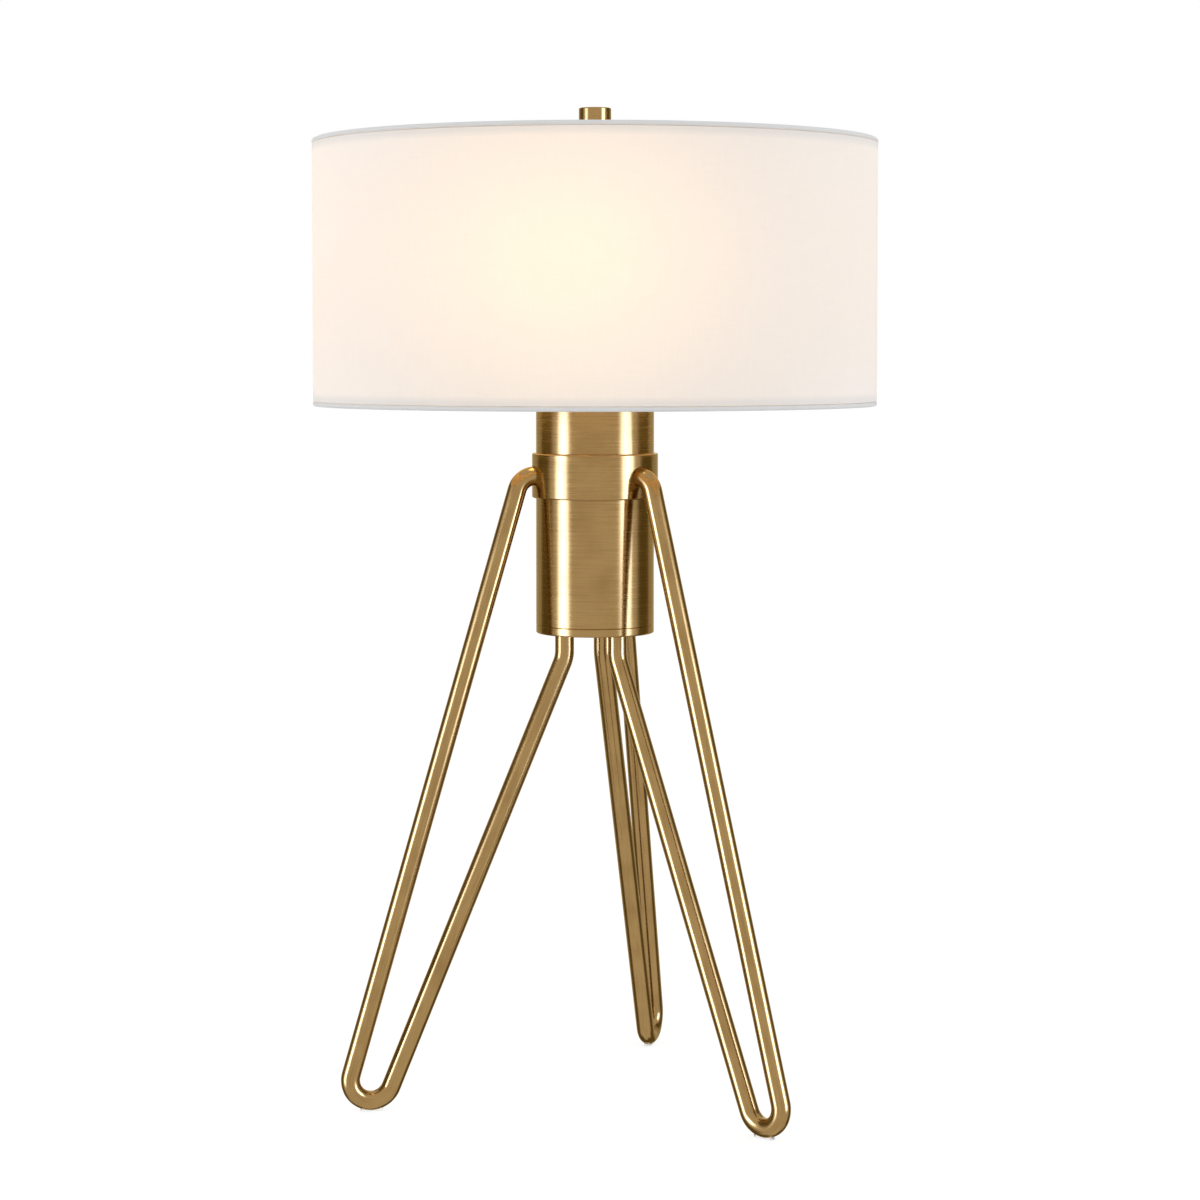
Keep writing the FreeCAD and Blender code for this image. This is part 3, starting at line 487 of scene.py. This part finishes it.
turned_brass = brass("turned_brass")
drawn_brass = brass("drawn_brass", drawn=True, roughness=0.19, anisotropy=0.2)
finial_brass = brass("finial_brass", roughness=0.2)
plated_steel = plain("plated_steel", (0.62, 0.61, 0.58), (0.5, 0.49, 0.46), 0.32, metallic=1.0)
wire_steel = plain("ring_wire", (0.7, 0.7, 0.68), (0.6, 0.6, 0.58), 0.35, metallic=1.0)
bulb_metal = plain("bulb_metal", (0.72, 0.71, 0.69), (0.6, 0.59, 0.57), 0.25, metallic=1.0)
black_plastic = plain("black_plastic", (0.018, 0.018, 0.018), (0.012, 0.012, 0.012), 0.45)
knob_plastic = plain("knob_plastic", (0.02, 0.019, 0.018), (0.014, 0.013, 0.012), 0.3)
fibre = plain("fibre", (0.42, 0.36, 0.28), (0.34, 0.28, 0.21), 0.8, cells=1600)
bulb_body = plain("bulb_body", (0.8, 0.79, 0.76), (0.74, 0.73, 0.7), 0.4)
foot_pad = plain(
    "foot_pad", (0.98, 0.98, 0.97), (0.94, 0.94, 0.93), 0.2, transmission=0.95, depth=0.000003
)
glass = lit_glass("frosted_glass", 0.75)
# the wall and the liner get painted glows that stand for the bulb's light
fabric = cloth("shade_fabric", (0.87, 0.865, 0.855), glow=(GLOW, 0.125), transmission=0.122)
liner = cloth("shade_liner", (0.86, 0.85, 0.82), glow=(GLOW_INSIDE, 0.12), pitch=0.0012)
# The hems' fabric is greyer than the wall's: painted shade where the ring wire and folded fabric
# keep the bulb's light out.
hem_fabric = cloth("hem_fabric", (0.735, 0.735, 0.735), pitch=0.0004)

NODE_MATERIALS = {
    "leg_saddle_washers": plated_steel,
    "leg_top_nuts": plated_steel,
    "leg_stem_washers": plated_steel,
    "leg_stem_nuts": plated_steel,
    "foot_pads": foot_pad,
    "canister_tube": turned_brass,
    "collar_band": turned_brass,
    "base_cap": turned_brass,
    "top_dish": turned_brass,
    "lamp_pipe": plated_steel,
    "pipe_locknut_bottom": plated_steel,
    "pipe_locknut_top": plated_steel,
    "pipe_star_washer": plated_steel,
    "cord_bushing": black_plastic,
    "harp_saddle": turned_brass,
    "harp_wire": turned_brass,
    "harp_stud": turned_brass,
    "harp_ferrule_left": turned_brass,
    "harp_ferrule_right": turned_brass,
    "socket_cap": turned_brass,
    "socket_set_screw": plated_steel,
    "socket_shell": turned_brass,
    "socket_liner": fibre,
    "socket_switch_body": black_plastic,
    "socket_terminal_screws": plated_steel,
    "socket_screw_shell": bulb_metal,
    "socket_contact": turned_brass,
    "switch_shaft": turned_brass,
    "switch_knob": knob_plastic,
    "bulb_globe": glass,
    "bulb_collar": bulb_body,
    "bulb_screw_shell": bulb_metal,
    "bulb_insulator": black_plastic,
    "bulb_tip": bulb_metal,
    "shade_top_ring": wire_steel,
    "shade_bottom_ring": wire_steel,
    "shade_spider_arms": wire_steel,
    "shade_spider_hub": wire_steel,
    "finial": finial_brass,
}


def dress(node, material):
    """Gives a CAD node its material."""
    for slot in nodes[node].material_slots:
        slot.material = material


def place(piece, material, body, slot, *replaced):
    """Gives a new piece its material and its body, and hides the nodes that it stands for."""
    piece.data.materials.append(material)
    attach(piece, body)
    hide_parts(*replaced)
    return piece


for node, material in NODE_MATERIALS.items():
    dress(node, material)

# ---------------------------------------------------------------- legs


def tangent_heading(point, centre, radius, side):
    """Direction from point to the circle's tangent point, in two dimensions. side is +1 or -1."""
    away = centre - point
    angle = math.asin(radius / away.length) * side
    return Matrix.Rotation(angle, 2) @ away.normalized()


def crossing(p, u, q, v):
    """Where the line from p along u meets the line from q along v."""
    across = u.x * v.y - u.y * v.x
    t = ((q.x - p.x) * v.y - (q.y - p.y) * v.x) / across
    return p + u * t


def leg_line():
    """Centre line of a leg, as (distance from the lamp's axis, height)."""
    foot = Vector((FOOT_REACH, PAD_T + ROD_R + FOOT_BEND_R))
    entry = Vector((tube_r, collar_mid_z))
    shoulder = Vector((collar_r + SHOULDER_OUT, collar_mid_z))
    knee = Vector((STEM_REACH, base_z - STEM_DROP))
    stem_end = Vector((STEM_REACH, base_z + STEM_PORT_DEPTH))
    outer = tangent_heading(shoulder, foot, FOOT_BEND_R, +1)
    inner = tangent_heading(knee, foot, FOOT_BEND_R, -1)
    toe = crossing(shoulder, outer, knee, inner)
    corners = [entry, shoulder, toe, knee, stem_end]
    return filled(bent(corners, [TOP_BEND_R, FOOT_BEND_R, STEM_BEND_R]), LEG_STEP)


def leg_top_end(node):
    """Distance from the axis to the inner end of a leg's upper tenon."""
    lowest = collar_mid_z - TENON_R * TENON_SLACK
    near = [v.co for v in nodes[node].data.vertices if v.co.z > lowest]
    return min(math.hypot(co.x, co.y) for co in near)


def leg_stem_top():
    """Height of the end of a leg's lower tenon."""
    return max(levels("leg_stem_nuts")[1], base_z) + TENON_PROUD


def build_leg(node, degrees):
    """The leg that stands at degrees round the lamp: a bent rod with a tenon at each end."""
    bar = leg_line()
    start = Vector((leg_top_end(node), collar_mid_z))
    stop = Vector((STEM_REACH, leg_stem_top()))
    line = [start, bar[0], *bar, bar[-1], stop]
    radii = [TENON_R, TENON_R] + [ROD_R] * len(bar) + [TENON_R, TENON_R]
    piece = turn(rod(node + "_rod", line, radii), degrees)
    return place(piece, drawn_brass, "lamp_base", "leg_brass", node)


for node, degrees in LEG_ANGLES.items():
    build_leg(node, degrees)

# ---------------------------------------------------------------- shade


def seam_bulge(angle):
    """The lap seam: the upper layer rises gently on one side and ends in a step on the other."""
    arc = (angle - math.radians(SEAM_ANGLE)) * shade_r
    if abs(arc) > SEAM_W / 2:
        return 0.0
    return SEAM_PROUD * min(1.0, (arc + SEAM_W / 2) / SEAM_RISE)


def build_wall(name, radius, material, slot, node):
    """A layer of the shade's wall, with its lap seam."""
    height = wall_z1 - wall_z0
    outline = [(radius, wall_z0 + height * i / WALL_ROWS) for i in range(WALL_ROWS + 1)]
    piece = turned(name, outline, WALL_SIDES, seam_bulge, closed=False)
    return place(piece, material, "shade", slot, node)


def roll_outline(centre_r, centre_z, away):
    """Section of a hem: a roll about the ring wire, flat where it meets the wall."""
    first, last = HEM_ROLL
    points = []
    for i in range(HEM_STEPS + 1):
        a = math.radians(first + (last - first) * i / HEM_STEPS)
        points.append((centre_r + HEM_R * math.cos(a), centre_z + away * HEM_R * math.sin(a)))
    return points


def ripple(angle):
    """Slight unevenness of a rolled edge."""
    return RIPPLE * sum(math.sin(angle * waves + phase) for waves, phase in RIPPLE_WAVES)


def build_hem(name, node, away):
    """The hem at the top of the wall where away is +1, and at its bottom where it is -1."""
    low, high = levels(node)
    centre_z = high - HEM_R if away > 0 else low + HEM_R
    centre_r = reach(node) - HEM_R
    outline = roll_outline(centre_r, centre_z, away)
    piece = turned(name, outline, HEM_SIDES, ripple, closed=True)
    return place(piece, hem_fabric, "shade", "hem_fabric", node)


build_wall("shade_wall", shade_r, fabric, "shade_fabric", "shade_fabric")
backing = build_wall("shade_backing", liner_r - LINER_INSET, liner, "shade_liner", "shade_liner")
backing.visible_shadow = False
build_hem("shade_upper_hem", "shade_top_hem", +1)
build_hem("shade_lower_hem", "shade_bottom_hem", -1)
nodes["bulb_globe"].visible_shadow = False

# ---------------------------------------------------------------- stage

LAMP_MID_Z = 0.32
FLOOR_SIZE = 60.0
FLOOR_GREY = 0.8               # for the light on the lamp
FLOOR_SEEN_GREY = 0.22         # in view, where it takes the shadow
FLOOR_SEEN_GLOW = 0.86         # in view, on top of that grey
WORLD_STRENGTH = 0.77          # for the light on the lamp
SOFT_BOX_SIZE = (0.9, 1.6)
SOFT_BOX_DISTANCE = 2.0
SOFT_BOX_RISE = 0.25
SOFT_BOX_AZIMUTH = 62
SOFT_BOX_POWER = 9.0
BULB_POWER = 0.8
BULB_COLOUR = (1.0, 0.56, 0.16)
BULB_LIGHT_R = globe_r * 1.5


def seen_rays(make):
    """1 for what is seen directly, in reflections or through clear matter, else 0."""
    rays = make("LightPath").outputs
    seen = rays["Is Camera Ray"]
    for name in ("Is Glossy Ray", "Is Transmission Ray"):
        seen = calculated(make, "MAXIMUM", seen, rays[name])
    return seen


def matt_grey(make, level):
    """The output of a matt surface of this grey."""
    return make("BsdfDiffuse", {"Color": (level, level, level, 1)}).outputs[0]


def floor_material():
    """White in view, with a faint shadow, and clear from below."""
    material, make = new_material("floor_white")
    faint = matt_grey(make, FLOOR_SEEN_GREY)
    white = make("Emission", {"Strength": FLOOR_SEEN_GLOW})
    shown = make("AddShader", {0: faint, 1: white.outputs[0]})
    real = matt_grey(make, FLOOR_GREY)
    top = make("MixShader", {0: seen_rays(make), 1: real, 2: shown.outputs[0]})
    below = make("MixShader", {
        0: make("NewGeometry").outputs["Backfacing"],
        1: top.outputs[0],
        2: make("BsdfTransparent").outputs[0],
    })
    make("OutputMaterial", {"Surface": below.outputs[0]})
    return material


def card_material(name, colour, strength, soft):
    """A card that glows, and fades towards its edges.

    soft is the faded share of its width and of its height, at each edge.
    """
    material, make = new_material(name)
    uv = make("SeparateXYZ", {0: make("TexCoord").outputs["UV"]}).outputs
    fades = []
    for axis, share in zip("XY", soft):
        away = calculated(make, "ABSOLUTE", calculated(make, "SUBTRACT", uv[axis], 0.5))
        span = {"start": 0.5 - share, "end": 0.5}
        fades.append(ranged(make, away, 1.0, 0.0, **span, interpolation_type="SMOOTHSTEP"))
    glow = make("Emission", {"Color": (*colour, 1), "Strength": strength})
    clear = make("BsdfTransparent")
    fade = calculated(make, "MULTIPLY", *fades)
    mixed = make("MixShader", {0: fade, 1: clear.outputs[0], 2: glow.outputs[0]})
    make("OutputMaterial", {"Surface": mixed.outputs[0]})
    return material


def round_lamp(azimuth, distance, height):
    """A place round the lamp. azimuth is in degrees from the camera's side."""
    a = math.radians(azimuth)
    return (math.sin(a) * distance, -math.cos(a) * distance, height)


def card(name, azimuth, spread, rows, material):
    """A curved card, seen only in reflections, through rows of (distance, height).

    azimuth is its middle, and spread its width, in degrees.
    """
    verts, faces, uvs = [], [], []
    for i in range(CARD_STEPS + 1):
        across = i / CARD_STEPS
        for j, (distance, height) in enumerate(rows):
            verts.append(round_lamp(azimuth + spread * (across - 0.5), distance, height))
            uvs.append((across, j / (len(rows) - 1)))
    count = len(rows)
    for i in range(CARD_STEPS):
        for j in range(count - 1):
            k = i * count + j
            faces.append((k, k + count, k + count + 1, k + 1))
    mesh = bpy.data.meshes.new(name)
    mesh.from_pydata(verts, [], faces)
    layer = mesh.uv_layers.new(name="UVMap").data
    for loop in mesh.loops:
        layer[loop.index].uv = uvs[loop.vertex_index]
    mesh.materials.append(material)
    piece = new_object(name, mesh)
    piece.visible_camera = piece.visible_diffuse = piece.visible_transmission = False
    piece.visible_shadow = False
    return piece


def build_floor():
    """A wide floor, which isn't seen in reflections."""
    half = FLOOR_SIZE / 2
    corners = [(-half, -half, 0), (half, -half, 0), (half, half, 0), (-half, half, 0)]
    mesh = bpy.data.meshes.new("floor")
    mesh.from_pydata(corners, [], [(0, 1, 2, 3)])
    mesh.materials.append(floor_material())
    piece = new_object("floor", mesh)
    piece.visible_glossy = False


def build_world():
    """White in view and in reflections, and plain soft light for everything else."""
    world = bpy.data.worlds.new("studio")
    bpy.context.scene.world = world
    world.use_nodes = True
    make = node_maker(world.node_tree)
    strength = ranged(make, seen_rays(make), WORLD_STRENGTH, 1, start=0, end=1)
    background = make("Background", {"Color": (1, 1, 1, 1), "Strength": strength})
    make("OutputWorld", {"Surface": background.outputs[0]})


def soft_box(name, azimuth):
    """A large soft lamp that faces the object and isn't seen in reflections."""
    light = bpy.data.lights.new(name, "AREA")
    light.shape = "RECTANGLE"
    light.size, light.size_y = SOFT_BOX_SIZE
    light.energy = SOFT_BOX_POWER
    piece = new_object(name, light)
    piece.location = round_lamp(azimuth, SOFT_BOX_DISTANCE, LAMP_MID_Z + SOFT_BOX_RISE)
    aim = Vector((0, 0, LAMP_MID_Z)) - piece.location
    piece.rotation_euler = aim.to_track_quat("-Z", "Y").to_euler()
    piece.visible_glossy = piece.visible_camera = False


def bulb_light():
    """The bulb's own light, which goes with the bulb and makes the glints on the legs' bends."""
    light = bpy.data.lights.new("bulb_light", "POINT")
    light.energy = BULB_POWER
    light.color = BULB_COLOUR
    light.shadow_soft_size = BULB_LIGHT_R
    piece = new_object("bulb_light", light)
    piece.location = GLOW_FROM
    piece.visible_camera = False
    piece.parent = frame["bodies"]["bulb"]


build_floor()
build_world()
bright = card_material("card_bright", (0.52, 0.65, 1.0), strength=16.0, soft=(0.45, 0.26))
dark = card_material("card_dark", (1.0, 0.8, 0.3), strength=0.2, soft=(0.24, 0.1))
middle = card_material("card_middle", (1.0, 0.92, 0.74), strength=0.54, soft=(0.3, 0.1))
below = card_material("card_below", (1.0, 0.8, 0.3), strength=0.2, soft=(0.15, 0.12))

LEFT_ROWS = [(2.2, -1.0), (2.2, 0.3), (2.2, 0.98)]
RIGHT_ROWS = [(2.2, -0.65), (2.2, 0.5), (2.2, 1.3)]
BELOW_ROWS = [(2.4, -0.9), (1.8, -2.0), (0.6, -2.6)]
DARK_ROWS = [(2.2, -2.5), (2.2, 3.0)]
MIDDLE_ROWS = [(2.3, -2.5), (2.3, 3.0)]

card("card_bright_left", azimuth=-64.2, spread=34, rows=LEFT_ROWS, material=bright)
card("card_bright_right", azimuth=62, spread=35, rows=RIGHT_ROWS, material=bright)
card("card_below", azimuth=180, spread=170, rows=BELOW_ROWS, material=below)
for side in (-1, 1):
    card(f"card_dark_{side}", azimuth=side * 110, spread=50, rows=DARK_ROWS, material=dark)
    card(f"card_middle_{side}", azimuth=side * 147, spread=50, rows=MIDDLE_ROWS, material=middle)
    soft_box(f"soft_box_{side}", azimuth=side * SOFT_BOX_AZIMUTH)
bulb_light()

# ---------------------------------------------------------------- camera

CAMERA_AT = (0.0, -1.8868, 0.4816)
CAMERA_PITCH = 2.9756          # degrees below level
CAMERA_LENS = 89.337
CAMERA_SENSOR = 36
CAMERA_SHIFT = (0.00415, -0.085)

camera = new_object("camera", bpy.data.cameras.new("camera"))
camera.location = CAMERA_AT
camera.rotation_euler = (math.radians(90 - CAMERA_PITCH), 0, 0)
camera.data.lens = CAMERA_LENS
camera.data.sensor_width = CAMERA_SENSOR
camera.data.shift_x, camera.data.shift_y = CAMERA_SHIFT
bpy.context.scene.camera = camera
bpy.context.scene.view_settings.view_transform = "Standard"
